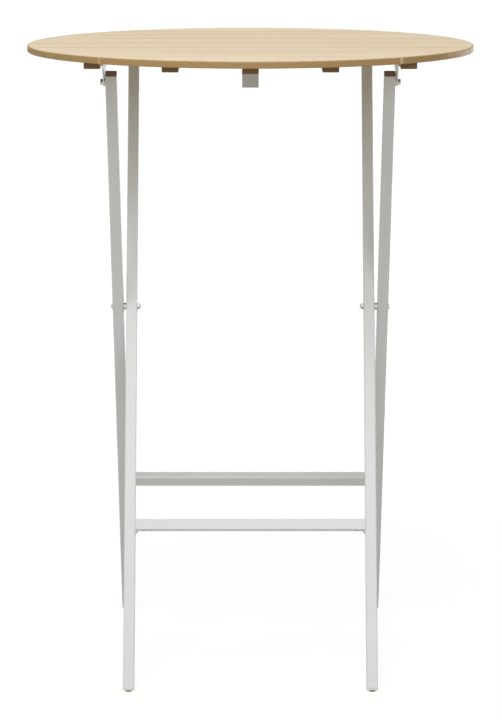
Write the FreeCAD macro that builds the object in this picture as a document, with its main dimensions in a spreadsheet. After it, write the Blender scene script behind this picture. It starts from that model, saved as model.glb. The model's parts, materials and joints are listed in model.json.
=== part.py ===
import FreeCAD, Part
import os
import re

import Sketcher

# Folding high table: a round slatted top on two crossed frames of square steel tube.
# The outer frame carries the top on two hinge bolts near its front edge. The inner frame
# turns inside it on two pivot bolts, and its top bar holds up the back of the top.
# Frame: +Z up, the floor at zero, the centre of the top above the origin, the front at -Y.

Vector = FreeCAD.Vector

# Driving dimensions: millimetres, with angles in degrees and counts as plain numbers.
SIZES = {
    # Whole table
    "table_height": 1130,
    "pivot_height": 650,
    "lean_deg": 22,
    "rest_gap": 0.3,
    "side_play": 0.25,
    "running_clearance": 0.05,
    # Slatted top
    "top_radius": 400,
    "slat_count": 8,
    "slat_gap": 5,
    "rim_trim": 7.5,
    "slat_thick": 12,
    "rim_round": 2.5,
    "rim_bevel": 1,
    "slat_edge_round": 1,
    # Battens under the slats
    "batten_width": 28,
    "batten_thick": 12,
    "batten_bevel": 0.8,
    "middle_batten_inset": 34,
    "side_batten_inset": 39,
    "far_batten_inset": 16,
    # Square tube of both frames
    "tube_side": 20,
    "tube_wall": 1.5,
    "tube_round": 2,
    "frame_half_width": 252,
    "leg_gap": 5,
    "rear_rail_height": 290,
    "front_rail_height": 276,
    "vent_radius": 4.5,
    "vent_inset": 15,
    "weld_leg": 4.8,
    "upper_weld_leg": 2.8,
    # End caps and feet
    "end_cap_thick": 2,
    "end_cap_bevel": 1,
    "plug_length": 9,
    "plug_clearance": 0.1,
    "foot_cap_thick": 4.5,
    "pad_radius": 6.5,
    "pad_thick": 4,
    "pad_bevel": 1.5,
    # Hinge of the top
    "hinge_drop": 30,
    "hinge_end_reach": 15,
    "hinge_gap": 1.5,
    "hinge_bolt_radius": 3,
    "hinge_head_flats": 10,
    "hinge_head_thick": 5,
    "hinge_head_bevel": 1,
    "insert_radius": 4.5,
    "insert_length": 12,
    "insert_flange_radius": 6.5,
    "insert_flange_thick": 0.5,
    "bracket_thick": 2.5,
    "bracket_eye_radius": 7.5,
    "bracket_front": 32,
    "bracket_back": 76,
    "bracket_upright": 13,
    "bracket_round": 6,
    "bracket_flange_width": 20,
    "bracket_bend": 2,
    "bracket_screw_count": 3,
    "bracket_screw_inset": 18,
    # Pivot where the frames cross
    "pivot_bolt_radius": 3,
    "pivot_head_radius": 5.5,
    "pivot_head_edge": 0.8,
    "pivot_head_rise": 2.8,
    "spacer_radius": 6.5,
    "nut_flats": 10,
    "nut_thick": 3.5,
    "nut_dome_radius": 4.6,
    "nut_dome_rise": 3.4,
    "nut_bore_depth": 5,
    # Catch plate behind the top bar
    "catch_width": 31,
    "catch_thick": 3,
    "catch_drop": 73.5,
    "catch_foot": 52,
    "catch_bend": 3,
    "catch_corner_round": 1,
    "catch_screw_inset": 13,
    # Wood screws of the metal plates
    "screw_radius": 2,
    "screw_head_radius": 3.8,
    "screw_head_thick": 2,
    "bracket_screw_length": 11,
    "catch_screw_length": 11,
}

# Lengths that follow from the driving dimensions.
RULES = {
    "lean": "lean_deg * 1 deg",
    "half_tube": "tube_side / 2",
    "slat_bottom": "table_height - slat_thick",
    "batten_bottom": "slat_bottom - batten_thick",
    # The outer slats lose the trim when the boards are cut to a circle.
    "slat_pitch": "(2 * (top_radius + rim_trim) + slat_gap) / slat_count",
    "slat_width": "slat_pitch - slat_gap",
    "foot_height": "pad_thick + foot_cap_thick",
    "outer_leg_x": "frame_half_width - half_tube",
    "inner_leg_x": "outer_leg_x - tube_side - leg_gap",
    "rear_rail_y": "(pivot_height - rear_rail_height) * tan(lean)",
    "front_rail_y": "(front_rail_height - pivot_height) * tan(lean)",
    "rear_rail_length": "2 * (outer_leg_x - half_tube)",
    "front_rail_length": "2 * (inner_leg_x - half_tube)",
    # A tilted tube reaches this far from its centre, up and sideways.
    "tilted_reach": "(half_tube - tube_round) * (cos(lean) + sin(lean)) + tube_round",
    "hinge_height": "batten_bottom - hinge_drop",
    "hinge_y": "(pivot_height - hinge_height) * tan(lean)",
    "hinge_along": "(hinge_height - pivot_height) / cos(lean)",
    "bar_height": "batten_bottom - rest_gap - tilted_reach",
    "bar_y": "(bar_height - pivot_height) * tan(lean)",
    "bar_along": "(bar_height - pivot_height) / cos(lean)",
    "foot_along": "(foot_height - pivot_height) / cos(lean)",
    "foot_y": "(pivot_height - pad_thick) * tan(lean)",
    "plug_side": "tube_side - 2 * tube_wall - 2 * plug_clearance",
    "bracket_inner_x": "frame_half_width + hinge_gap",
    "bracket_outer_x": "bracket_inner_x + bracket_thick",
    "bracket_top": "slat_bottom - hinge_height",
    "far_batten_x": "bracket_outer_x + batten_width / 2",
    "catch_front_y": "bar_y + tilted_reach + rest_gap",
}

ALONG_X, ALONG_Y, ALONG_Z = Vector(1, 0, 0), Vector(0, 1, 0), Vector(0, 0, 1)
SIDES = (("left", "-"), ("right", ""))

doc = FreeCAD.newDocument("high_table")
sheet = doc.addObject("Spreadsheet::Sheet", "Sizes")
for row, (size_name, number) in enumerate(SIZES.items(), 1):
    sheet.set(f"A{row}", size_name)
    sheet.set(f"B{row}", str(number))
    sheet.setAlias(f"B{row}", size_name)
doc.recompute()

parts = []


def formula(text):
    """Spell out a rule in cells of the sheet."""
    def expand(match):
        word = match.group()
        if word in RULES:
            return "(" + formula(RULES[word]) + ")"
        return "Sizes." + word if word in SIZES else word
    return re.sub(r"[a-z][a-z_]*", expand, text)


def value(text):
    """The number that a rule gives now."""
    return float(sheet.evalExpression(formula(text)))


def keep(piece):
    """Count an object as a sub-part, under its own label."""
    parts.append(piece)
    return piece


def bind(item, **rules):
    """Tie properties of an object to rules."""
    for name, text in rules.items():
        item.setExpression(name, formula(text))
    return item


def place(item, x="0", y="0", z="0", turn=None):
    """Put an object at a point and turn it about X, all tied to rules."""
    if turn:
        item.Placement = FreeCAD.Placement(Vector(), FreeCAD.Rotation(ALONG_X, value(turn)))
        item.setExpression("Placement.Rotation.Angle", formula(turn))
    for axis, text in zip("xyz", (x, y, z)):
        item.setExpression("Placement.Base." + axis, formula(text))
    return item


def new_body(label):
    body = doc.addObject("PartDesign::Body", label)
    body.Label = label
    return body


def new_sketch(body, role, lift=None):
    """An empty sketch on one of the body's own planes, lifted along its normal if asked."""
    plane = next(item for item in body.Origin.OriginFeatures if item.Role == role)
    sketch = body.newObject("Sketcher::SketchObject", "outline")
    sketch.AttachmentSupport = [(plane, "")]
    sketch.MapMode = "FlatFace"
    if lift:
        sketch.setExpression("AttachmentOffset.Base.z", formula(lift))
    return sketch


def fix_point(sketch, geometry, corner, point):
    """Hold a point at two distances from the sketch's origin."""
    for kind, text in zip(("DistanceX", "DistanceY"), point):
        rule = Sketcher.Constraint(kind, -1, 1, geometry, corner, value(text))
        index = sketch.addConstraint(rule)
        sketch.setExpression(f"Constraints[{index}]", formula(text))


def add_polygon(sketch, points):
    """A closed outline of straight lines through points given as pairs of rules."""
    corners = [Vector(value(across), value(up), 0) for across, up in points]
    first = sketch.GeometryCount
    for start, end in zip(corners, corners[1:] + corners[:1]):
        sketch.addGeometry(Part.LineSegment(start, end), False)
    for step in range(len(points)):
        following = first + (step + 1) % len(points)
        sketch.addConstraint(Sketcher.Constraint("Coincident", first + step, 2, following, 1))
    for step, point in enumerate(points):
        fix_point(sketch, first + step, 1, point)
    return sketch


def add_square(sketch, side):
    half = f"({side}) / 2"
    corners = (("-", "-"), ("", "-"), ("", ""), ("-", ""))
    return add_polygon(sketch, [(across + half, up + half) for across, up in corners])


def add_circle(sketch, radius, centre=("0", "0")):
    spot = Vector(value(centre[0]), value(centre[1]), 0)
    index = sketch.addGeometry(Part.Circle(spot, ALONG_Z, value(radius)), False)
    fix_point(sketch, index, 3, centre)
    rule = sketch.addConstraint(Sketcher.Constraint("Radius", index, value(radius)))
    sketch.setExpression(f"Constraints[{rule}]", formula(radius))
    return sketch


def add_hexagon(sketch, flats):
    """A hexagon with the given distance across its flats, two of them level."""
    flat, point = f"({flats}) / 2", f"({flats}) / sqrt(3)"
    half = f"{point} / 2"
    corners = ((point, "0"), (half, flat), ("-" + half, flat))
    opposite = (("-" + point, "0"), ("-" + half, "-" + flat), (half, "-" + flat))
    return add_polygon(sketch, corners + opposite)


def dome(body, radius, base, rise):
    """Revolve a round cap about X: a disc at base that bulges by rise towards +X."""
    sketch = new_sketch(body, "XY_Plane")
    bend = f"(({radius}) ^ 2 + ({rise}) ^ 2) / (2 * ({rise}))"
    crown, middle = f"{base} + {rise}", f"{base} + {rise} - {bend}"
    rim = Vector(value(base), value(radius), 0)
    circle = Part.Circle(Vector(value(middle), 0, 0), ALONG_Z, value(bend))
    arc = sketch.addGeometry(Part.ArcOfCircle(circle, 0, circle.parameter(rim)), False)
    seat = sketch.addGeometry(Part.LineSegment(rim, Vector(value(base), 0, 0)), False)
    axis = sketch.addGeometry(Part.LineSegment(Vector(value(base), 0, 0),
                                               Vector(value(crown), 0, 0)), False)
    for one, other in ((arc, seat), (seat, axis), (axis, arc)):
        sketch.addConstraint(Sketcher.Constraint("Coincident", one, 2, other, 1))
    sketch.addConstraint(Sketcher.Constraint("PointOnObject", arc, 3, -1))
    for corner, point in ((2, (base, radius)), (1, (crown, "0"))):
        fix_point(sketch, arc, corner, point)
    fix_point(sketch, axis, 1, (base, "0"))
    feature = body.newObject("PartDesign::Revolution", "cap")
    feature.Profile = sketch
    feature.ReferenceAxis = (sketch, ["H_Axis"])
    doc.recompute()
    return feature


def pad(body, sketch, length, back=False, both=False):
    feature = body.newObject("PartDesign::Pad", "pad")
    feature.Profile = sketch
    feature.Reversed = back
    if both:
        feature.SideType = "Symmetric"
    bind(feature, Length=length)
    doc.recompute()
    return feature


def pocket(body, sketch, back=False, both=False, length=None):
    """Cut a sketch through, or to a length, and make sure that it removed something."""
    before = body.Shape.Volume
    feature = body.newObject("PartDesign::Pocket", "pocket")
    feature.Profile = sketch
    feature.Reversed = back
    if both:
        feature.SideType = "Symmetric"
    if length:
        bind(feature, Length=length)
    else:
        feature.Type = "ThroughAll"
    doc.recompute()
    if body.Shape.Volume >= before:
        raise RuntimeError(body.Label + " has a pocket that cuts nothing")
    return feature


def dress(body, kind, size, chosen):
    """Round or bevel the edges of the body's last feature that a test picks."""
    base = body.Tip
    names = [f"Edge{i}" for i, edge in enumerate(base.Shape.Edges, 1) if chosen(edge)]
    feature = body.newObject("PartDesign::" + kind, kind.lower())
    feature.Base = (base, names)
    bind(feature, **{"Radius" if kind == "Fillet" else "Size": size})
    doc.recompute()
    return feature


def runs(edge, axis):
    """Whether a straight edge runs along X, Y or Z."""
    if edge.Curve.TypeId != "Part::GeomLine":
        return False
    return abs(edge.Curve.Direction.dot(axis)) > 1 - edge.Tolerance


def level_with(edge, axis, rule):
    """Whether the middle of an edge lies at a rule's distance along an axis."""
    return abs(edge.CenterOfMass.dot(axis) - value(rule)) < value("rest_gap") / 10


def block(label, x, y, z):
    """A box between pairs of rules along X, Y and Z."""
    item = doc.addObject("Part::Box", label)
    sizes = {}
    for name, (low, high) in zip(("Length", "Width", "Height"), (x, y, z)):
        sizes[name] = f"({high}) - ({low})"
    bind(item, **sizes)
    return place(item, x[0], y[0], z[0])


def combine(kind, label, base, tool):
    """A Cut, Common or Fuse of two objects."""
    item = doc.addObject("Part::" + kind, label)
    item.Label = label
    item.Base = base
    item.Tool = tool
    doc.recompute()
    return item


# Square tube


def square_bar(label, side, low, high, wall=None):
    """A square bar or tube along Z with rounded outer corners, between two rules."""
    body = new_body(label)
    sketch = add_square(new_sketch(body, "XY_Plane", low), side)
    if wall:
        add_square(sketch, f"{side} - 2 * {wall}")
    pad(body, sketch, f"({high}) - ({low})")
    corner = value(side) / 2 - value("rest_gap")
    dress(body, "Fillet", "tube_round", lambda edge: runs(edge, ALONG_Z)
          and abs(edge.CenterOfMass.x) > corner and abs(edge.CenterOfMass.y) > corner)
    return body


def cross_tube(label, length, vents=False):
    """A tube along X with rounded corners, and vent holes through its underside if asked."""
    body = new_body(label)
    sketch = add_square(new_sketch(body, "YZ_Plane"), "tube_side")
    add_square(sketch, "tube_side - 2 * tube_wall")
    pad(body, sketch, length, both=True)
    corner = value("half_tube") - value("rest_gap")
    dress(body, "Fillet", "tube_round", lambda edge: runs(edge, ALONG_X)
          and abs(edge.CenterOfMass.y) > corner and abs(edge.CenterOfMass.z) > corner)
    if vents:
        holes = new_sketch(body, "XY_Plane")
        for sign in ("-", ""):
            add_circle(holes, "vent_radius", (f"{sign}(({length}) / 2 - vent_inset)", "0"))
        pocket(body, holes)
    return body


# Shared cutting boxes: everything below the tube ends, and the slab that the foot caps fill.
width = ("-top_radius", "top_radius")
below_feet = block("below_feet", width, width, ("-tube_side", "foot_height"))
foot_slab = block("foot_slab", width, width, ("pad_thick", "foot_height"))


def make_leg(name, sign, frame, leg_x, turn, top_along):
    """A tilted leg tube with its end cap, its foot cap and its foot pad.

    The tube lies along its own Z from the pivot. Its lower end is cut level with the floor.
    """
    stand = dict(x=sign + leg_x, z="pivot_height", turn=turn)
    tube = place(square_bar(f"{frame}_tube_{name}", "tube_side", "foot_along - tube_side",
                            top_along, "tube_wall"), **stand)
    hole = add_circle(new_sketch(tube, "YZ_Plane"), "pivot_bolt_radius + running_clearance")
    pocket(tube, hole, both=True)
    if frame == "outer":
        seat = add_circle(new_sketch(tube, "YZ_Plane"), "insert_radius", ("0", "hinge_along"))
        pocket(tube, seat, back=sign == "")
    keep(combine("Cut", f"{frame}_leg_{name}", tube, below_feet))

    cap = new_body(f"{frame}_cap_{name}")
    pad(cap, add_square(new_sketch(cap, "XY_Plane", top_along), "tube_side"), "end_cap_thick")
    edge_of_cap = f"{top_along} + end_cap_thick"
    dress(cap, "Fillet", "tube_round", lambda edge: runs(edge, ALONG_Z))
    dress(cap, "Chamfer", "end_cap_bevel", lambda edge: level_with(edge, ALONG_Z, edge_of_cap))
    pad(cap, add_square(new_sketch(cap, "XY_Plane", top_along), "plug_side"), "plug_length", back=True)
    keep(place(cap, **stand))

    sole = place(square_bar(f"{frame}_sole_{name}", "tube_side", "foot_along - tube_side",
                            "foot_along + tube_side"), **stand)
    plug = new_body(f"{frame}_plug_{name}")
    base = add_square(new_sketch(plug, "XY_Plane", "foot_along - tube_side"), "plug_side")
    pad(plug, base, "tube_side + plug_length")
    place(plug, **stand)
    sole_cut = combine("Common", f"{frame}_sole_cut_{name}", sole, foot_slab)
    plug_cut = combine("Cut", f"{frame}_plug_cut_{name}", plug, below_feet)
    keep(combine("Fuse", f"{frame}_foot_{name}", sole_cut, plug_cut))

    glide = new_body(f"{frame}_pad_{name}")
    pad(glide, add_circle(new_sketch(glide, "XY_Plane"), "pad_radius"), "pad_thick")
    dress(glide, "Chamfer", "pad_bevel", lambda edge: level_with(edge, ALONG_Z, "0")
          and edge.Curve.TypeId == "Part::GeomCircle")
    keep(place(glide, sign + leg_x, "foot_y" if frame == "outer" else "-foot_y"))


def weld_beads(label, rails):
    """Triangular weld beads in the corners between tube faces and legs, as one group.

    Each rail is given by its half length, the middle of its section, its turn and the sides,
    up or down, that carry a bead.
    """
    legs = {-1: value("weld_leg"), 1: value("upper_weld_leg")}
    face, depth = value("half_tube"), value("tube_side - 2 * tube_round")
    beads = []
    for half, y, z, turn, faces in rails:
        spot = FreeCAD.Placement(Vector(0, value(y), value(z)),
                                 FreeCAD.Rotation(ALONG_X, value(turn)))
        for end in (-value(half), value(half)):
            for up in faces:
                leg = legs[up]
                inward = -leg if end > 0 else leg
                corner = Vector(end, -depth / 2, up * face)
                points = [corner, corner + Vector(inward, 0, 0), corner + Vector(0, 0, up * leg)]
                outline = Part.Face(Part.makePolygon(points + points[:1]))
                bead = outline.extrude(Vector(0, depth, 0))
                bead.Placement = spot
                beads.append(bead)
    item = doc.addObject("Part::Feature", label)
    item.Label = label
    item.Shape = Part.makeCompound(beads)
    return keep(item)


def make_frames():
    """Both frames: four legs, the two rails, the top bar and their welds."""
    for name, sign in SIDES:
        make_leg(name, sign, "outer", "outer_leg_x", "lean_deg", "hinge_along + hinge_end_reach")
        make_leg(name, sign, "inner", "inner_leg_x", "-lean_deg", "bar_along + half_tube")
    rear = dict(y="rear_rail_y", z="rear_rail_height", turn="lean_deg")
    front = dict(y="front_rail_y", z="front_rail_height", turn="-lean_deg")
    bar = dict(y="bar_y", z="bar_height", turn="-lean_deg")
    keep(place(cross_tube("rear_rail", "rear_rail_length", vents=True), **rear))
    keep(place(cross_tube("front_rail", "front_rail_length", vents=True), **front))
    keep(place(cross_tube("top_bar", "front_rail_length"), **bar))
    weld_beads("outer_welds", [("rear_rail_length / 2", *rear.values(), (-1, 1))])
    weld_beads("inner_welds", [("front_rail_length / 2", *front.values(), (-1, 1)),
                               ("front_rail_length / 2", *bar.values(), (-1,))])


# Pivot and hinge hardware, made along X with the outer side at +X and turned for the left


def ring(label, outer, inner, thick):
    body = new_body(label)
    sketch = add_circle(new_sketch(body, "YZ_Plane"), outer)
    add_circle(sketch, inner)
    pad(body, sketch, thick)
    return body


def stand_hardware(item, sign, x, y, z, inward=False):
    """Stand a piece of hardware at a distance from the middle, its +X side outwards or inwards."""
    if (sign == "-") != inward:
        item.Placement = FreeCAD.Placement(Vector(), FreeCAD.Rotation(ALONG_Z, 180))
    return keep(place(item, f"{sign}({x})", y, z))


def make_pivot(name, sign):
    """Domed bolt through both legs, a spacer between them and a cap nut inside."""
    shank = "2 * tube_side + leg_gap + side_play + nut_bore_depth"
    bolt = new_body(f"pivot_bolt_{name}")
    pad(bolt, add_circle(new_sketch(bolt, "YZ_Plane"), "pivot_head_radius"), "pivot_head_edge")
    dome(bolt, "pivot_head_radius", "pivot_head_edge", "pivot_head_rise")
    pad(bolt, add_circle(new_sketch(bolt, "YZ_Plane"), "pivot_bolt_radius"), shank, back=True)
    stand_hardware(bolt, sign, "frame_half_width", "0", "pivot_height")

    hole = "pivot_bolt_radius + running_clearance"
    spacer = ring(f"pivot_spacer_{name}", "spacer_radius", hole, "leg_gap - side_play")
    stand_hardware(spacer, sign, "frame_half_width - tube_side - leg_gap + side_play",
                   "0", "pivot_height")

    nut = new_body(f"pivot_nut_{name}")
    pad(nut, add_hexagon(new_sketch(nut, "YZ_Plane"), "nut_flats"), "nut_thick")
    dome(nut, "nut_dome_radius", "nut_thick", "nut_dome_rise")
    bore = add_circle(new_sketch(nut, "YZ_Plane"), hole)
    pocket(nut, bore, back=True, length="nut_bore_depth + side_play")
    stand_hardware(nut, sign, "inner_leg_x - half_tube - side_play", "0", "pivot_height", inward=True)


def make_hinge(name, sign):
    """Threaded insert in the leg, a washer, the bracket of the top and its hex bolt."""
    at_hinge = ("hinge_y", "hinge_height")
    hole = "hinge_bolt_radius + running_clearance"
    insert = ring(f"hinge_insert_{name}", "insert_flange_radius", hole, "insert_flange_thick")
    sleeve = add_circle(new_sketch(insert, "YZ_Plane"), "insert_radius")
    add_circle(sleeve, hole)
    pad(insert, sleeve, "insert_length", back=True)
    stand_hardware(insert, sign, "frame_half_width", *at_hinge)

    washer = ring(f"hinge_washer_{name}", "insert_flange_radius", hole,
                  "hinge_gap - insert_flange_thick - side_play")
    stand_hardware(washer, sign, "frame_half_width + insert_flange_thick", *at_hinge)

    bolt = new_body(f"hinge_bolt_{name}")
    pad(bolt, add_hexagon(new_sketch(bolt, "YZ_Plane"), "hinge_head_flats"), "hinge_head_thick")
    dress(bolt, "Chamfer", "hinge_head_bevel",
          lambda edge: level_with(edge, ALONG_X, "hinge_head_thick"))
    shank = "side_play + bracket_thick + hinge_gap + insert_length"
    pad(bolt, add_circle(new_sketch(bolt, "YZ_Plane"), "hinge_bolt_radius"), shank, back=True)
    stand_hardware(bolt, sign, "bracket_outer_x + side_play", *at_hinge)


def bracket_screw_places():
    """Distances of the bracket's screws from the hinge axis, evenly spread along Y."""
    front = "-bracket_front + bracket_screw_inset"
    step = "(bracket_front + bracket_back - 2 * bracket_screw_inset) / (bracket_screw_count - 1)"
    return [f"{front} + {index} * {step}" for index in range(SIZES["bracket_screw_count"])]


def make_bracket(name, sign):
    """Bent hinge plate: an eye that tapers up to a long edge, and a flange under the slats."""
    outward = sign == ""
    body = new_body(f"hinge_bracket_{name}")
    low = "bracket_top - bracket_upright"
    outline = [
        ("-bracket_eye_radius", "-bracket_eye_radius"),
        ("bracket_eye_radius", "-bracket_eye_radius"),
        ("bracket_eye_radius", "0"),
        ("bracket_back", low),
        ("bracket_back", "bracket_top"),
        ("-bracket_front", "bracket_top"),
        ("-bracket_front", low),
        ("-bracket_eye_radius", "0"),
    ]
    pad(body, add_polygon(new_sketch(body, "YZ_Plane"), outline), "bracket_thick", back=not outward)
    dress(body, "Fillet", "bracket_eye_radius - rest_gap", lambda edge: runs(edge, ALONG_X)
          and level_with(edge, ALONG_Z, "-bracket_eye_radius"))
    dress(body, "Fillet", "bracket_round", lambda edge: runs(edge, ALONG_X)
          and level_with(edge, ALONG_Z, low))
    flange = [
        ("-bracket_front", "bracket_top - bracket_thick"),
        ("bracket_back", "bracket_top - bracket_thick"),
        ("bracket_back", "bracket_top"),
        ("-bracket_front", "bracket_top"),
    ]
    sketch = add_polygon(new_sketch(body, "YZ_Plane"), flange)
    pad(body, sketch, "bracket_flange_width", back=outward)
    dress(body, "Fillet", "bracket_bend", lambda edge: runs(edge, ALONG_Y)
          and level_with(edge, ALONG_X, "0")
          and level_with(edge, ALONG_Z, "bracket_top - bracket_thick"))
    pocket(body, add_circle(new_sketch(body, "YZ_Plane"), "hinge_bolt_radius + running_clearance"),
           both=True)
    holes = new_sketch(body, "XY_Plane")
    across = "-bracket_flange_width / 2" if outward else "bracket_flange_width / 2"
    for along in bracket_screw_places():
        add_circle(holes, "screw_radius", (across, along))
    pocket(body, holes, back=True)
    keep(place(body, sign + "bracket_inner_x", "hinge_y", "hinge_height"))


def make_catch():
    """Bent strap under the middle batten, behind the top bar, that keeps the frames from spreading."""
    body = new_body("catch_plate")
    back = "catch_front_y + catch_foot"
    outline = [
        ("catch_front_y", "batten_bottom"),
        (back, "batten_bottom"),
        (back, "batten_bottom - catch_thick"),
        ("catch_front_y + catch_thick", "batten_bottom - catch_thick"),
        ("catch_front_y + catch_thick", "batten_bottom - catch_drop"),
        ("catch_front_y", "batten_bottom - catch_drop"),
    ]
    pad(body, add_polygon(new_sketch(body, "YZ_Plane"), outline), "catch_width", both=True)
    dress(body, "Fillet", "catch_bend", lambda edge: runs(edge, ALONG_X)
          and level_with(edge, ALONG_Y, "catch_front_y + catch_thick")
          and level_with(edge, ALONG_Z, "batten_bottom - catch_thick"))
    dress(body, "Fillet", "catch_bend", lambda edge: runs(edge, ALONG_X)
          and level_with(edge, ALONG_Y, "catch_front_y")
          and level_with(edge, ALONG_Z, "batten_bottom"))
    dress(body, "Fillet", "catch_corner_round", lambda edge: runs(edge, ALONG_Y)
          and level_with(edge, ALONG_Z, "batten_bottom - catch_drop"))
    dress(body, "Fillet", "catch_corner_round", lambda edge: runs(edge, ALONG_Z)
          and level_with(edge, ALONG_Y, back))
    holes = new_sketch(body, "XY_Plane")
    for along in catch_screw_places():
        add_circle(holes, "screw_radius", ("0", along))
    pocket(body, holes, back=True)
    keep(body)


def catch_screw_places():
    """Y of the two screws of the catch plate."""
    back = "catch_front_y + catch_foot - catch_screw_inset"
    return ["catch_front_y + catch_thick + catch_screw_inset", back]


# Wooden top


def batten_places():
    """Name, X and length of each batten, from the left to the right.

    A batten ends an inset short of where its outer edge would meet the rim.
    """
    places = []
    for name, x, inset in (
        ("far_left", "-far_batten_x", "far_batten_inset"),
        ("left", "-far_batten_x / 2", "side_batten_inset"),
        ("middle", "0", "middle_batten_inset"),
        ("right", "far_batten_x / 2", "side_batten_inset"),
        ("far_right", "far_batten_x", "far_batten_inset"),
    ):
        edge = f"(abs({x}) + batten_width / 2)"
        places.append((name, x, f"2 * (sqrt(top_radius ^ 2 - {edge} ^ 2) - {inset})"))
    return places


def slat_edges():
    """Front and back Y of each slat, from the front to the back."""
    count = SIZES["slat_count"]
    fronts = [f"{index - count / 2} * slat_pitch + slat_gap / 2" for index in range(count)]
    return [(front, f"{front} + slat_width") for front in fronts]


def wood_screw(x, y, z, length):
    """A round-headed wood screw that points up, its head below the plate at z."""
    thick = value("screw_head_thick")
    spot = Vector(x, y, z)
    head = Part.makeCylinder(value("screw_head_radius"), thick, spot - Vector(0, 0, thick))
    return head.fuse(Part.makeCylinder(value("screw_radius"), length, spot)).removeSplitter()


def screw_group(label, screws):
    item = doc.addObject("Part::Feature", label)
    item.Label = label
    item.Shape = Part.makeCompound(screws)
    return keep(item)


def make_screws():
    """Screws of the brackets and of the catch plate, as two groups."""
    low, length = value("slat_bottom - bracket_thick"), value("bracket_screw_length")
    across = value("bracket_inner_x - bracket_flange_width / 2")
    bracket_screws = screw_group("bracket_screws", [
        wood_screw(side * across, value("hinge_y + " + along), low, length)
        for side in (-1, 1) for along in bracket_screw_places()])
    low, length = value("batten_bottom - catch_thick"), value("catch_screw_length")
    catch_screws = screw_group("catch_screws", [wood_screw(0, value(along), low, length)
                                                for along in catch_screw_places()])
    return bracket_screws, catch_screws


def make_battens(catch_screws):
    """Five bars under the slats, the middle one drilled for the catch plate."""
    for name, x, length in batten_places():
        body = new_body(f"batten_{name}")
        half = "batten_width / 2"
        outline = [("-" + half, "0"), (half, "0"), (half, "batten_thick"), ("-" + half, "batten_thick")]
        pad(body, add_polygon(new_sketch(body, "XZ_Plane"), outline), length, both=True)
        dress(body, "Chamfer", "batten_bevel", lambda edge: level_with(edge, ALONG_Z, "0"))
        place(body, x, "0", "batten_bottom")
        if name == "middle":
            body.Label = "batten_blank_middle"
            body = combine("Cut", "batten_middle", body, catch_screws)
        keep(body)


def make_slats(bracket_screws):
    """Strips cut from one round board with a rounded rim, with their long edges eased."""
    board = doc.addObject("Part::Cylinder", "board")
    bind(board, Radius="top_radius", Height="slat_thick")
    place(board, z="slat_bottom")
    doc.recompute()
    disc = board
    for kind, size, level in (("Fillet", "rim_round", "table_height"),
                              ("Chamfer", "rim_bevel", "slat_bottom")):
        eased = doc.addObject("Part::" + kind, "disc_" + kind.lower())
        eased.Base = disc
        eased.Edges = [(index, value(size), value(size))
                       for index, edge in enumerate(disc.Shape.Edges, 1)
                       if edge.Curve.TypeId == "Part::GeomCircle" and level_with(edge, ALONG_Z, level)]
        doc.recompute()
        disc = eased
    round_over = value("slat_edge_round")
    for number, (front, back) in enumerate(slat_edges(), 1):
        strip = block(f"strip_{number}", width, (front, back), ("slat_bottom", "table_height"))
        doc.recompute()
        eased = doc.addObject("Part::Fillet", f"strip_eased_{number}")
        eased.Base = strip
        eased.Edges = [(index, round_over, round_over)
                       for index, edge in enumerate(strip.Shape.Edges, 1)
                       if runs(edge, ALONG_X) and level_with(edge, ALONG_Z, "table_height")]
        doc.recompute()
        blank = combine("Common", f"slat_blank_{number}", disc, eased)
        keep(combine("Cut", f"slat_{number}", blank, bracket_screws))


make_frames()
for name, sign in SIDES:
    make_pivot(name, sign)
    make_hinge(name, sign)
    make_bracket(name, sign)
make_catch()
bracket_screws, catch_screws = make_screws()
make_battens(catch_screws)
make_slats(bracket_screws)
doc.recompute()

# Nothing is written unless every object is sound.
for item in doc.Objects:
    if "Invalid" in item.State or "Error" in item.State:
        raise RuntimeError(f"{item.Label} failed: {item.State}")
for item in parts:
    if item.Shape.isNull() or not item.Shape.isValid() or not item.Shape.Solids:
        raise RuntimeError(f"{item.Label} is not a sound solid")

os.makedirs("parts", exist_ok=True)
for item in parts:
    item.Shape.exportStep(f"parts/{item.Label}.step")
print(len(parts), "sub-parts written")
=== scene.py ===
import json
import math
from functools import cached_property

import bmesh
import bpy
import numpy as np
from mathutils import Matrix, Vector


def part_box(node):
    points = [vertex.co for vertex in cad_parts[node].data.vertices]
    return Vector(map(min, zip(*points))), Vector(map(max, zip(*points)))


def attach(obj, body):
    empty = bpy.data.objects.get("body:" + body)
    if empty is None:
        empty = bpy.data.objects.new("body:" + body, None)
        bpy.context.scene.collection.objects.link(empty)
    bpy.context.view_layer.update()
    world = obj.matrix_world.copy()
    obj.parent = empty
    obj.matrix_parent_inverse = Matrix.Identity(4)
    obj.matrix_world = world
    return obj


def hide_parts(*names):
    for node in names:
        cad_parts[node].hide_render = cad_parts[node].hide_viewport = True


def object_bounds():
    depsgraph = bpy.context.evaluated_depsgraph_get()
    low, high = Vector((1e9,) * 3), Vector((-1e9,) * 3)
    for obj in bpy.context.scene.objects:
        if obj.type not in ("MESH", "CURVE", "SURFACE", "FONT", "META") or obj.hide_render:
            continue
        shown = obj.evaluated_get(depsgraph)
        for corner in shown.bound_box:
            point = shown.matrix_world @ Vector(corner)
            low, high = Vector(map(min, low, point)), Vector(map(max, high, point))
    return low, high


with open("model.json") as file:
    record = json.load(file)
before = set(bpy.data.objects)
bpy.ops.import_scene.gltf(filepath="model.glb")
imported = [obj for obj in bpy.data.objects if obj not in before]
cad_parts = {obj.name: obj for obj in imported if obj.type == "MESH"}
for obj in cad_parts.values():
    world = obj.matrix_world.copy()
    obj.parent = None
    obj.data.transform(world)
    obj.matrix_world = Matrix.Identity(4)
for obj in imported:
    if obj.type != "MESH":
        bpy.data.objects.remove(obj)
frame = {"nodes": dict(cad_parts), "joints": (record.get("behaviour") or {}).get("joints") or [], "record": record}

cad_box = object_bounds()

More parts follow.
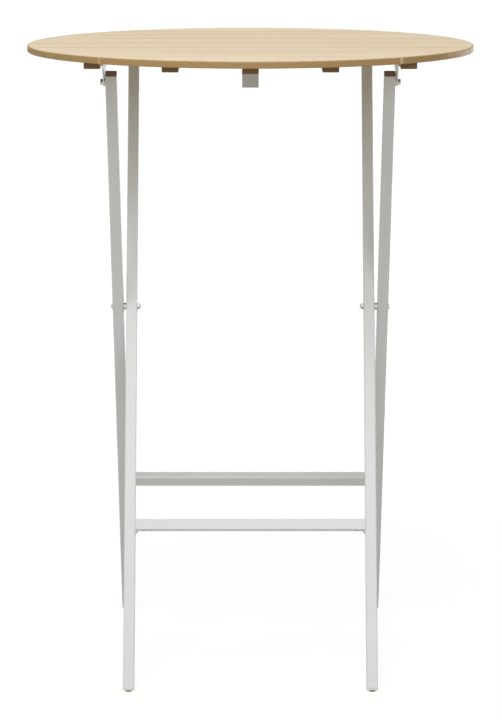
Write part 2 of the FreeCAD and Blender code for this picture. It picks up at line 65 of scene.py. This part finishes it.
# Places that the pieces below share, in metres, read from the frame.
TOP_RADIUS = (cad_box[1].y - cad_box[0].y) / 2
SLAT_COUNT = sum(name.startswith("slat_") for name in frame["nodes"])
SLAT_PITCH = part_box("slat_5")[0].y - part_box("slat_4")[0].y
SLAT_HALF = (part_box("slat_4")[1].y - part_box("slat_4")[0].y) / 2
SLAT_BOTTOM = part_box("slat_4")[0].z
BATTENS = [name for name in frame["nodes"] if name.startswith("batten_")]
BATTEN_HALF = (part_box("batten_middle")[1].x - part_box("batten_middle")[0].x) / 2
BATTEN_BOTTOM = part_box("batten_middle")[0].z
BATTEN_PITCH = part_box("batten_right")[0].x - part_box("batten_middle")[0].x
TUBE_HALF = (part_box("outer_leg_right")[1].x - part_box("outer_leg_right")[0].x) / 2

# The legs lean by the angle of the line from the pivot bolts to the hinge bolts.
JOINTS = {joint["name"]: joint for joint in frame["joints"]}
HINGE, PIVOT = (np.array(JOINTS[name]["pos_m"]) for name in ("top_tilt", "leg_fold"))
LEAN = math.atan2(PIVOT[1] - HINGE[1], HINGE[2] - PIVOT[2])


def linear(red, green, blue):
    """A colour in 0-255 sRGB as linear RGBA."""
    shares = [c / 255 for c in (red, green, blue)]
    return [c / 12.92 if c <= 0.04045 else ((c + 0.055) / 1.055) ** 2.4 for c in shares] + [1.0]


class Value:
    """A shader socket that adds, subtracts, multiplies and divides as a number does."""

    def __init__(self, graph, socket):
        self.graph, self.socket = graph, socket

    def math(self, operation, *others):
        return self.graph.node("ShaderNodeMath", [self, *others], operation=operation)

    def __add__(self, other):
        return self.math("ADD", other)

    __radd__ = __add__

    def __mul__(self, other):
        return self.math("MULTIPLY", other)

    __rmul__ = __mul__

    def __sub__(self, other):
        return self.math("SUBTRACT", other)

    def __rsub__(self, other):
        return self.graph.node("ShaderNodeMath", [other, self], operation="SUBTRACT")

    def __truediv__(self, other):
        return self.math("DIVIDE", other)

    def __rtruediv__(self, other):
        return self.graph.node("ShaderNodeMath", [other, self], operation="DIVIDE")


SEEN_RAYS = ("Is Camera Ray", "Is Glossy Ray", "Is Transmission Ray")
# A Mix node has sockets for every kind of data. These are the numbers of the ones for colours.
MIX_FACTOR, MIX_FIRST, MIX_SECOND, MIX_RESULT = 0, 6, 7, 2


class Graph:
    """The node tree of a material or of the world, with one shader at its end."""

    def __init__(self, owner, shader):
        owner.use_nodes = True
        self.owner, self.tree = owner, owner.node_tree
        self.shader = self.tree.nodes[shader]

    def put(self, target, value):
        """Link a socket to a value, or set it to a constant."""
        if isinstance(value, Value):
            self.tree.links.new(value.socket, target)
        else:
            target.default_value = value

    def node(self, kind, inputs=(), output=0, **settings):
        """Add a node, feed its inputs by name or by order, and give one of its outputs."""
        node = self.tree.nodes.new(kind)
        for name, setting in settings.items():
            setattr(node, name, setting)
        pairs = inputs.items() if isinstance(inputs, dict) else enumerate(inputs)
        for key, value in pairs:
            self.put(node.inputs[key], value)
        return Value(self, node.outputs[output])

    @cached_property
    def place(self):
        """The point on the piece, in metres."""
        return self.node("ShaderNodeTexCoord", output="Object")

    def axis(self, letter):
        """One coordinate of the point."""
        return self.node("ShaderNodeSeparateXYZ", [self.place], output=letter)

    def radius(self):
        """The point's distance from the Z axis."""
        x, y = self.axis("X"), self.axis("Y")
        return (x * x + y * y).math("SQRT")

    def facing(self, letter):
        """How squarely the piece's own surface faces along an axis, from 0 to 1."""
        normal = self.node("ShaderNodeTexCoord", output="Normal")
        return self.node("ShaderNodeSeparateXYZ", [normal], output=letter).math("ABSOLUTE")

    def seen(self):
        """1 for what the camera, a mirror or glass sees, and 0 for light that falls on the pieces."""
        camera, mirror, glass = (self.node("ShaderNodeLightPath", output=ray) for ray in SEEN_RAYS)
        return camera.math("MAXIMUM", mirror).math("MAXIMUM", glass)

    def noise(self, scale, stretch=(1, 1, 1), detail=4.0, shift=None, rough=0.55):
        """Noise about 0.5, in object space, drawn out by an uneven stretch."""
        place = self.node("ShaderNodeMapping", {"Vector": self.place, "Scale": stretch})
        if shift:
            place = self.node("ShaderNodeVectorMath", [place, shift], operation="ADD")
        feeds = {"Vector": place, "Scale": scale, "Detail": detail, "Roughness": rough}
        return self.node("ShaderNodeTexNoise", feeds, output="Fac")

    def step(self, value, low, high):
        """A smooth rise from 0 to 1 between two levels."""
        feeds = {"Value": value, "From Min": low, "From Max": high}
        return self.node("ShaderNodeMapRange", feeds, interpolation_type="SMOOTHSTEP")

    def mix(self, factor, first, second):
        """A colour between two, nearer to the second as the factor rises."""
        feeds = {MIX_FACTOR: factor, MIX_FIRST: first, MIX_SECOND: second}
        return self.node("ShaderNodeMix", feeds, output=MIX_RESULT, data_type="RGBA")

    def bump(self, height, strength, depth):
        """A normal tilted by the slope of a height."""
        feeds = {"Height": height, "Strength": strength, "Distance": depth}
        return self.node("ShaderNodeBump", feeds)

    def finish(self, **feeds):
        """Feed the shader's sockets, and give what owns the tree."""
        for name, value in feeds.items():
            self.put(self.shader.inputs[name.replace("_", " ")], value)
        return self.owner


def material_graph(name):
    """The node tree of a new material."""
    return Graph(bpy.data.materials.new(name), "Principled BSDF")


def drawn_out(letter, share):
    """The stretch of a pattern that runs along one axis."""
    return [share if letter == axis else 1.0 for axis in "XYZ"]


# Wood. Lengths are in metres and noise scales per metre, here and in the finishes below. A range is where
# a step starts and ends, a share is how much of a mark shows, and a bump is its strength and depth.
RING_WIDTH = 0.0046
PITH_SPREAD, PITH_DEPTH = 0.16, 0.05
BEND_REACH = 0.034
# Width of the painted shade along the long edges of each board.
GAP_SHADE_WIDTH = 0.003
RIM_DEPTH, RIM_SKIN = 0.0022, 0.00022
GRAIN_STRETCH = 0.03
BOARD_SEED, BOARD_SHIFT = 0.37, (5.0, 3.0, 7.0)
BEND_SCALE, BAND_SCALE, STREAK_SCALE, PORE_SCALE, DOT_SCALE = 2.0, 28.0, 260.0, 900.0, 1100.0
LATE_RISE, LATE_FALL = (0.35, 0.9), (0.93, 1.0)
PORE_RANGE, TONE_RANGE, END_RANGE = (0.6, 0.8), (0.34, 0.82), (0.6, 0.95)
LATE_TONE, BAND_TONE, STREAK_TONE = 0.2, 0.62, 0.4
# The last share is how strongly the painted shade along the board edges shows.
PORE_SHARE, BOARD_SHARE, GAP_SHADE_SHARE = 0.16, 0.22, 0.62
SAWN_LATE_SHARE, SAWN_DOT_SHARE = 0.3, 0.5
WOOD_ROUGHNESS, STREAK_ROUGHNESS, SAWN_ROUGHNESS = 0.42, 0.14, 0.15
STREAK_RELIEF, PORE_RELIEF, LATE_RELIEF = 0.6, 0.4, 0.3
WOOD_BUMP = (0.22, 0.0004)
# Pale and dark shade of the faces, then of the sawn ends.
SLAT_SHADES = [linear(243, 226, 194), linear(217, 194, 152), linear(178, 146, 95), linear(154, 122, 74)]
BATTEN_SHADES = [linear(197, 170, 129), linear(170, 138, 94), linear(136, 108, 71), linear(116, 89, 55)]


def wood(name, along, count, pitch, half, level, pale, dark, sawn_pale, sawn_dark):
    """Light wood cut from round trunks, with the grain along X or Y and a trunk for each board.

    A count of boards lies about the middle, a pitch apart, and half is half of a board's width. Growth
    rings are the fraction of d / ring width, where d is the distance from the trunk's own axis, bent a
    little along the grain. The axis lies under the board's lower face, which is at the level given. Rings
    run as lines on the faces and as arcs on the sawn ends, which are darker and browner. Fine streaks and
    pores lie along the grain. A browner strip along each board's long edges, on its face and its sides, is
    painted shade, standing in for the shade at the edges and in the gaps between the boards.
    """
    graph = material_graph(name)
    run = drawn_out(along, GRAIN_STRETCH)
    side = graph.axis("Y" if along == "X" else "X")
    # An even count has a gap at the middle of the top, and an odd count has a board there.
    first_middle = 0.5 if count % 2 == 0 else 0.0
    board = (side / pitch + (0.5 - first_middle)).math("FLOOR")
    offset = side - (board + first_middle) * pitch
    seed = {"W": board + BOARD_SEED}
    lot = graph.node("ShaderNodeTexWhiteNoise", seed, "Value", noise_dimensions="1D")
    shift = graph.node("ShaderNodeCombineXYZ", [lot * reach for reach in BOARD_SHIFT])

    bend = graph.noise(BEND_SCALE, [(1 + share) / 2 for share in run], 2.0, shift) * BEND_REACH
    aside = offset - (lot - 0.5) * PITH_SPREAD
    above = graph.axis("Z") - level + PITH_DEPTH
    ring = (((aside * aside + above * above).math("SQRT") + bend) / RING_WIDTH).math("FRACT")
    late = graph.step(ring, *LATE_RISE) * (1.0 - graph.step(ring, *LATE_FALL))
    bands = graph.noise(BAND_SCALE, run, 3.0, shift)
    streaks = graph.noise(STREAK_SCALE, run, 5.0, shift, rough=0.65)
    pores = graph.step(graph.noise(PORE_SCALE, run, 2.0, shift), *PORE_RANGE)
    tone = late * LATE_TONE + bands * BAND_TONE + streaks * STREAK_TONE
    # Painted shade: a browner strip along each board's long edges, on its face and sides, stands in for the shade
    # in the gaps between boards.
    gap_shade = graph.step(offset.math("ABSOLUTE"), half - GAP_SHADE_WIDTH, half)
    colour = graph.mix(graph.step(tone, *TONE_RANGE), pale, dark)
    colour = graph.mix(pores * PORE_SHARE, colour, sawn_dark)
    colour = graph.mix(lot * BOARD_SHARE, colour, sawn_pale)
    # The painted shade along the board edges is mixed in here.
    colour = graph.mix(gap_shade * gap_shade * GAP_SHADE_SHARE, colour, sawn_pale)

    if along == "X":
        end = graph.step(graph.radius(), TOP_RADIUS - RIM_DEPTH, TOP_RADIUS - RIM_SKIN)
    else:
        end = graph.step(graph.facing(along), *END_RANGE)
    dots = graph.noise(DOT_SCALE, detail=2.0)
    sawn = graph.mix(late * SAWN_LATE_SHARE + dots * SAWN_DOT_SHARE, sawn_pale, sawn_dark)
    relief = streaks * STREAK_RELIEF + pores * PORE_RELIEF - late * LATE_RELIEF
    return graph.finish(Base_Color=graph.mix(end, colour, sawn),
                        Roughness=WOOD_ROUGHNESS + streaks * STREAK_ROUGHNESS + end * SAWN_ROUGHNESS,
                        Normal=graph.bump(relief, *WOOD_BUMP))


# Powder coat.
SKIN_SCALE, COAT_SHADE_SCALE, SCUFF_SCALE = 1400.0, 9.0, 55.0
SCUFF_STRETCH, SCUFF_RANGE = (1, 1, 0.2), (0.66, 0.78)
SCUFF_COLOUR = linear(176, 172, 164)
COAT_SHADE_SHARE, SCUFF_SHARE = 0.25, 0.1
COAT_ROUGHNESS, SKIN_ROUGHNESS, SCUFF_ROUGHNESS = 0.34, 0.1, 0.12
COAT_BUMP = (0.12, 0.0003)


def coated(name, colour, fleck):
    """Powder coat: a fine orange-peel skin, with faint uneven shade and scuffs."""
    graph = material_graph(name)
    skin = graph.noise(SKIN_SCALE, detail=2.0)
    shade = graph.noise(COAT_SHADE_SCALE, detail=3.0)
    scuff = graph.step(graph.noise(SCUFF_SCALE, SCUFF_STRETCH, 6.0), *SCUFF_RANGE)
    base = graph.mix(shade * COAT_SHADE_SHARE, colour, fleck)
    return graph.finish(Base_Color=graph.mix(scuff * SCUFF_SHARE, base, SCUFF_COLOUR),
                        Roughness=COAT_ROUGHNESS + skin * SKIN_ROUGHNESS + scuff * SCUFF_ROUGHNESS,
                        Normal=graph.bump(skin, *COAT_BUMP))


# Plastic and rubber.
MOULD_SHADE_SCALE, MOULD_SHADE_RANGE, MOULD_SHADE_SHARE = 60.0, (0.3, 0.75), 0.5
PIT_ROUGHNESS = 0.15
MOULD_BUMP = (0.2, 0.0003)


def moulded(name, colour, dark, grain, roughness, shine=0.5):
    """Moulded plastic or rubber: a fine spark-eroded grain and a slightly uneven shade."""
    graph = material_graph(name)
    pits = graph.noise(grain, detail=3.0)
    shade = graph.step(graph.noise(MOULD_SHADE_SCALE, detail=2.0), *MOULD_SHADE_RANGE)
    return graph.finish(Base_Color=graph.mix(shade * MOULD_SHADE_SHARE, colour, dark),
                        Roughness=roughness + pits * PIT_ROUGHNESS, Specular_IOR_Level=shine,
                        Normal=graph.bump(pits, *MOULD_BUMP))


# Zinc plate.
ROLL_STRETCH = 0.06
ROLL_SCALE, SPANGLE_SCALE, DULL_SCALE = 700.0, 420.0, 240.0
DULL_RANGE, SPANGLE_SHARE = (0.2, 0.85), 0.2
ZINC_ROUGHNESS, ROLL_ROUGHNESS, DULL_ROUGHNESS = 0.26, 0.18, 0.12
ZINC_BUMP = (0.15, 0.0002)


def plated(name, colour, dark, along):
    """Zinc-plated steel: rolling marks along one axis, spangle and dull spots."""
    graph = material_graph(name)
    marks = graph.noise(ROLL_SCALE, drawn_out(along, ROLL_STRETCH))
    feeds = {"Vector": graph.place, "Scale": SPANGLE_SCALE}
    cells = graph.node("ShaderNodeTexVoronoi", feeds, "Distance")
    dull = graph.noise(DULL_SCALE)
    base = graph.mix(graph.step(dull, *DULL_RANGE), dark, colour)
    return graph.finish(Base_Color=graph.mix(cells * SPANGLE_SHARE, base, dark), Metallic=1.0,
                        Roughness=ZINC_ROUGHNESS + marks * ROLL_ROUGHNESS + dull * DULL_ROUGHNESS,
                        Normal=graph.bump(marks, *ZINC_BUMP))


MATERIALS = {
    "slat_wood": wood("slat_wood", "X", SLAT_COUNT, SLAT_PITCH, SLAT_HALF, SLAT_BOTTOM, *SLAT_SHADES),
    "batten_wood": wood("batten_wood", "Y", len(BATTENS), BATTEN_PITCH, BATTEN_HALF, BATTEN_BOTTOM,
                        *BATTEN_SHADES),
    "white_steel": coated("white_steel", linear(233, 236, 236), linear(227, 228, 226)),
    # The end caps' brown colours are painted shade: light plastic caps coloured the dark brown they look in the
    # shade under the wooden top, lit only by bounce from the wood.
    "cap_plastic": moulded("cap_plastic", linear(150, 123, 93), linear(129, 103, 75),
                           grain=900.0, roughness=0.45),
    "foot_plastic": moulded("foot_plastic", linear(232, 228, 217), linear(221, 215, 201),
                            grain=900.0, roughness=0.42),
    "pad_rubber": moulded("pad_rubber", linear(46, 37, 30), linear(32, 25, 20),
                          grain=700.0, roughness=0.7, shine=0.15),
    "plate_steel": plated("plate_steel", linear(194, 192, 186), linear(172, 170, 163), "Z"),
    "zinc_steel": plated("zinc_steel", linear(192, 191, 188), linear(168, 166, 162), "X"),
}

for entry in frame["record"]["subparts"]:
    mesh = frame["nodes"][entry["node"]].data
    mesh.materials.clear()
    mesh.materials.append(MATERIALS[entry["material_slot"]])


SHARP_ANGLE = math.radians(40)
MERGE_REACH = 1e-6


def add_piece(name, patches, body, slot, *nodes):
    """Join grids of points into one closed mesh at the origin, on a body, in place of nodes.

    A patch is an array of rows of points. Neighbouring points make four-sided faces, and points that
    meet at a seam or a pole are merged.
    """
    points, faces = [], []
    for patch in patches:
        rows, columns = patch.shape[:2]
        index = len(points) + np.arange(rows * columns).reshape(rows, columns)
        corners = (index[:-1, :-1], index[1:, :-1], index[1:, 1:], index[:-1, 1:])
        faces.extend(np.stack(corners, axis=-1).reshape(-1, 4).tolist())
        points.extend(patch.reshape(-1, 3).tolist())
    mesh = bpy.data.meshes.new(name)
    mesh.from_pydata(points, [], faces)
    form = bmesh.new()
    form.from_mesh(mesh)
    bmesh.ops.remove_doubles(form, verts=form.verts, dist=MERGE_REACH)
    bmesh.ops.recalc_face_normals(form, faces=form.faces)
    form.to_mesh(mesh)
    form.free()
    mesh.materials.append(MATERIALS[slot])
    mesh.polygons.foreach_set("use_smooth", [True] * len(mesh.polygons))
    mesh.set_sharp_from_angle(angle=SHARP_ANGLE)
    piece = bpy.data.objects.new(name, mesh)
    bpy.context.collection.objects.link(piece)
    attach(piece, body)
    if nodes:
        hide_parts(*nodes)


def middle(node):
    """The middle of a node's box."""
    low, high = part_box(node)
    return np.array((low + high) / 2)


# Screws with a cross recess. A rise is the height of a head over the face it sits on.
SCREW_RADIUS, SCREW_SEAT = 0.0038, 0.0002
SCREW_RINGS, SCREW_SIDES = 12, 32
RECESS_REACH, RECESS_HALF, RECESS_DEPTH = 0.0023, 0.0006, 0.001
SLAT_SCREW_RISE, PLATE_SCREW_RISE = 0.0014, 0.002
SCREW_ROOM = 4 * SCREW_RADIUS


def screw_head(x, y, z, rise):
    """Round head that looks down, with a cross recess, on a face at height z.

    h = -rise (1 - q^2) + depth max(arm(x, y), arm(y, x)), where q is the radius over the head's own. An
    arm is 1 along half its reach and within its half width, and falls to 0 at its full reach and at its
    full width. The last row closes the head inside the face.
    """
    share = np.append(np.linspace(0, 1, SCREW_RINGS + 1), 0)[:, None]
    turn = np.linspace(0, 2 * math.pi, SCREW_SIDES + 1)
    across, along = SCREW_RADIUS * share * np.cos(turn), SCREW_RADIUS * share * np.sin(turn)

    def arm(reach, width):
        return (np.clip(2 - 2 * np.abs(reach) / RECESS_REACH, 0, 1)
                * np.clip(2 - np.abs(width) / RECESS_HALF, 0, 1))

    h = RECESS_DEPTH * np.maximum(arm(across, along), arm(along, across)) - rise * (1 - share ** 2)
    h[-1] = max(SCREW_SEAT, h[0, 0] + SCREW_SEAT)
    return np.stack([x + across, y + along, z + h], axis=-1)


def slat_screw_places():
    """Where a batten crosses a slat: the middle of the stretch that both cover."""
    for batten in BATTENS:
        low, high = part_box(batten)
        for number in range(1, SLAT_COUNT + 1):
            front, back = (corner.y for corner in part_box(f"slat_{number}"))
            start, end = max(front, low.y), min(back, high.y)
            if end - start > SCREW_ROOM:
                yield (low.x + high.x) / 2, (start + end) / 2, low.z


def plate_screw_places(node, rows, count):
    """Where a group of screws stands: rows across the group's box, with a count along each."""
    low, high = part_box(node)
    for x in np.linspace(low.x + SCREW_RADIUS, high.x - SCREW_RADIUS, rows):
        for y in np.linspace(low.y + SCREW_RADIUS, high.y - SCREW_RADIUS, count):
            yield x, y, low.z + PLATE_SCREW_RISE


slat_screws = [screw_head(*place, SLAT_SCREW_RISE) for place in slat_screw_places()]
add_piece("slat_screws", slat_screws, "top", "zinc_steel")
for node, rows, count in (("bracket_screws", 2, 3), ("catch_screws", 1, 2)):
    heads = [screw_head(*place, PLATE_SCREW_RISE) for place in plate_screw_places(node, rows, count)]
    add_piece(node + "_crossed", heads, "top", "zinc_steel", node)


# Foot pads. The groove starts and ends at shares of a pad's height.
PAD_ROUND, PAD_GROOVE = 0.0008, 0.0006
PAD_GROOVE_SHARES = (0.65, 0.75)
PAD_ARC_STEPS, PAD_SIDES = 6, 48


def turned_pad(node):
    """Pad turned about Z, (r cos t, r sin t, h), with a rounded sole and a groove under the foot cap.

    The profile (r, h) goes out along the sole, up a quarter circle and the side, in at the groove and
    back to the axis on top.
    """
    low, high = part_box(node)
    reach, height = (high.x - low.x) / 2, high.z - low.z
    neck = reach - PAD_GROOVE
    groove, throat = (share * height for share in PAD_GROOVE_SHARES)
    bend = np.linspace(0, math.pi / 2, PAD_ARC_STEPS + 1)
    sole = np.column_stack([reach - PAD_ROUND * (1 - np.sin(bend)), PAD_ROUND * (1 - np.cos(bend))])
    profile = np.array([(0, 0), *sole, (reach, groove), (neck, throat), (neck, height), (0, height)])
    radius, rise = profile.T[:, :, None]
    turn = np.linspace(0, 2 * math.pi, PAD_SIDES + 1)
    x, y, _ = middle(node)
    return np.stack([x + radius * np.cos(turn), y + radius * np.sin(turn),
                     low.z + rise + 0 * turn], axis=-1)


for node in [name for name in frame["nodes"] if "_pad_" in name]:
    add_piece(node + "_turned", [turned_pad(node)], node.split("_")[0] + "_frame", "pad_rubber", node)


# Weld beads in the corners between rails and legs. A bead's width differs under and over a rail.
WELD_WIDTHS = {-1: 0.005, 1: 0.003}
WELD_REACH, WELD_STEP = 0.0078, 0.0017
WELD_RIPPLE, WELD_FLATNESS, WELD_TAPER = 1 / 12, 1.4, 8
WELD_ROWS, WELD_SIDES = 60, 8


def weld_bead(rail, end, up, turn):
    """Rippled bead: offsets w cos(t)^p along the rail and w sin(t)^p up the leg.

    The power p would be 1 for a quarter circle and 2 for a flat bead. The width w swells with each
    ripple, |sin(pi s / step)|, along the bead's length s, and shrinks to nothing at its ends. The corner
    of the rail and the leg closes the bead behind.
    """
    low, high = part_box(rail)
    s = np.linspace(-WELD_REACH, WELD_REACH, WELD_ROWS + 1)[:, None]
    t = np.linspace(0, math.pi / 2, WELD_SIDES + 1)
    width = WELD_WIDTHS[up] * (1 + np.abs(np.sin(math.pi * s / WELD_STEP)) * WELD_RIPPLE)
    width = width * np.sqrt(1 - (s / WELD_REACH) ** WELD_TAPER)
    along = np.hstack([np.cos(t) ** WELD_FLATNESS, 0, 1])
    rise = np.hstack([np.sin(t) ** WELD_FLATNESS, 0, 0])
    x = (high.x if end > 0 else low.x) - end * width * along
    y = s + 0 * along
    z = up * (TUBE_HALF + width * rise)
    centre = middle(rail)
    return np.stack([x, centre[1] + y * math.cos(turn) - z * math.sin(turn),
                     centre[2] + y * math.sin(turn) + z * math.cos(turn)], axis=-1)


def weld_beads(node, body, turn, rails):
    """The beads of one frame: on the given sides of each rail, at both its ends."""
    beads = [weld_bead(rail, end, up, turn) for rail, ups in rails for up in ups for end in (-1, 1)]
    add_piece(node + "_rippled", beads, body, "white_steel", node)


weld_beads("outer_welds", "outer_frame", LEAN, [("rear_rail", (-1, 1))])
weld_beads("inner_welds", "inner_frame", -LEAN, [("front_rail", (-1, 1)), ("top_bar", (-1,))])


# Stage: white surroundings, a pale floor and soft lights.
WHITE = (1, 1, 1, 1)
WORLD_LEVEL = 0.165
FLOOR_RADIUS, FLOOR_SIDES = 30.0, 96
FLOOR_SHADE = linear(186, 181, 170)
FLOOR_MOTTLE, FLOOR_MOTTLE_SCALE, FLOOR_ROUGHNESS = 0.97, 2.0, 0.9
# How white the floor shows, and the share of that white near the table and far from it.
FLOOR_WHITE, NEAR_SHARE, FAR_SHARE = 1.28, 0.7, 0.8
SHADOW_REACH = (0.5, 2.5)
LIGHT_TARGET = (0, 0, 0.6)
# Each light's place, side length in metres and power in watts.
LIGHTS = {
    "key": ((-0.8, -2.9, 4.9), 2.2, 117),
    "fill": ((0.5, -4.3, 2.7), 2.0, 47),
    "left": ((-3.6, -1.2, 2.2), 1.6, 20),
    "right": ((3.6, -1.2, 2.2), 1.6, 10),
    "above": ((0, 0.3, 4.6), 2.0, 27),
    "back": ((2.4, 2.8, 0.55), 1.0, 45),
}


def white_world():
    """White where the camera, a mirror or glass sees it, and a plain light level elsewhere."""
    graph = Graph(bpy.data.worlds.new("studio"), "Background")
    strength = WORLD_LEVEL + graph.seen() * (1 - WORLD_LEVEL)
    bpy.context.scene.world = graph.finish(Color=WHITE, Strength=strength)


def soft_light(name, place, side, watts):
    """A square area light that faces the middle of the table."""
    light = bpy.data.lights.new(name, "AREA")
    light.energy = watts
    light.size = side
    lamp = bpy.data.objects.new(name, light)
    bpy.context.collection.objects.link(lamp)
    lamp.location = place
    aim = Vector(LIGHT_TARGET) - Vector(place)
    lamp.rotation_euler = aim.to_track_quat("-Z", "Y").to_euler()


def pale_floor():
    """A flat disc under the table: points at equal angles on a circle.

    The camera, mirrors and glass see it as white. A share of its own shade is left, larger near the
    table, so that the shadow stays.
    """
    angles = np.linspace(0, 2 * math.pi, FLOOR_SIDES, endpoint=False)
    points = np.column_stack([np.cos(angles), np.sin(angles), 0 * angles]) * FLOOR_RADIUS
    mesh = bpy.data.meshes.new("floor")
    mesh.from_pydata(points.tolist(), [], [tuple(range(FLOOR_SIDES))])
    graph = material_graph("floor")
    mottle = [FLOOR_MOTTLE * shade for shade in FLOOR_SHADE[:3]] + [1.0]
    graph.finish(Base_Color=graph.mix(graph.noise(FLOOR_MOTTLE_SCALE), FLOOR_SHADE, mottle),
                 Roughness=FLOOR_ROUGHNESS)
    away = graph.step(graph.radius(), *SHADOW_REACH)
    share = graph.seen() * (NEAR_SHARE + away * (FAR_SHARE - NEAR_SHARE))
    glow = graph.node("ShaderNodeEmission", {"Color": WHITE, "Strength": FLOOR_WHITE})
    shown = graph.node("ShaderNodeMixShader", [share, Value(graph, graph.shader.outputs[0]), glow])
    graph.put(graph.tree.nodes["Material Output"].inputs["Surface"], shown)
    mesh.materials.append(graph.owner)
    floor = bpy.data.objects.new("floor", mesh)
    bpy.context.collection.objects.link(floor)


white_world()
for name, setting in LIGHTS.items():
    soft_light(name, *setting)
pale_floor()


# Camera: a long lens in front of the table, a little above its top. The pitch is down, in radians.
CAMERA_PLACE = (0.0, -4.847, 1.496)
CAMERA_PITCH = 0.1928
LENS_MM, SENSOR_MM = 134.28, 36.0
CAMERA_SHIFT = 0.0008


def front_camera():
    """The camera at the photograph's viewing angle."""
    view = bpy.data.cameras.new("camera")
    view.lens = LENS_MM
    view.sensor_width = SENSOR_MM
    view.shift_x = CAMERA_SHIFT
    camera = bpy.data.objects.new("camera", view)
    bpy.context.collection.objects.link(camera)
    camera.location = CAMERA_PLACE
    camera.rotation_euler = (math.pi / 2 - CAMERA_PITCH, 0, 0)
    bpy.context.scene.camera = camera


front_camera()
bpy.context.scene.view_settings.view_transform = "Standard"
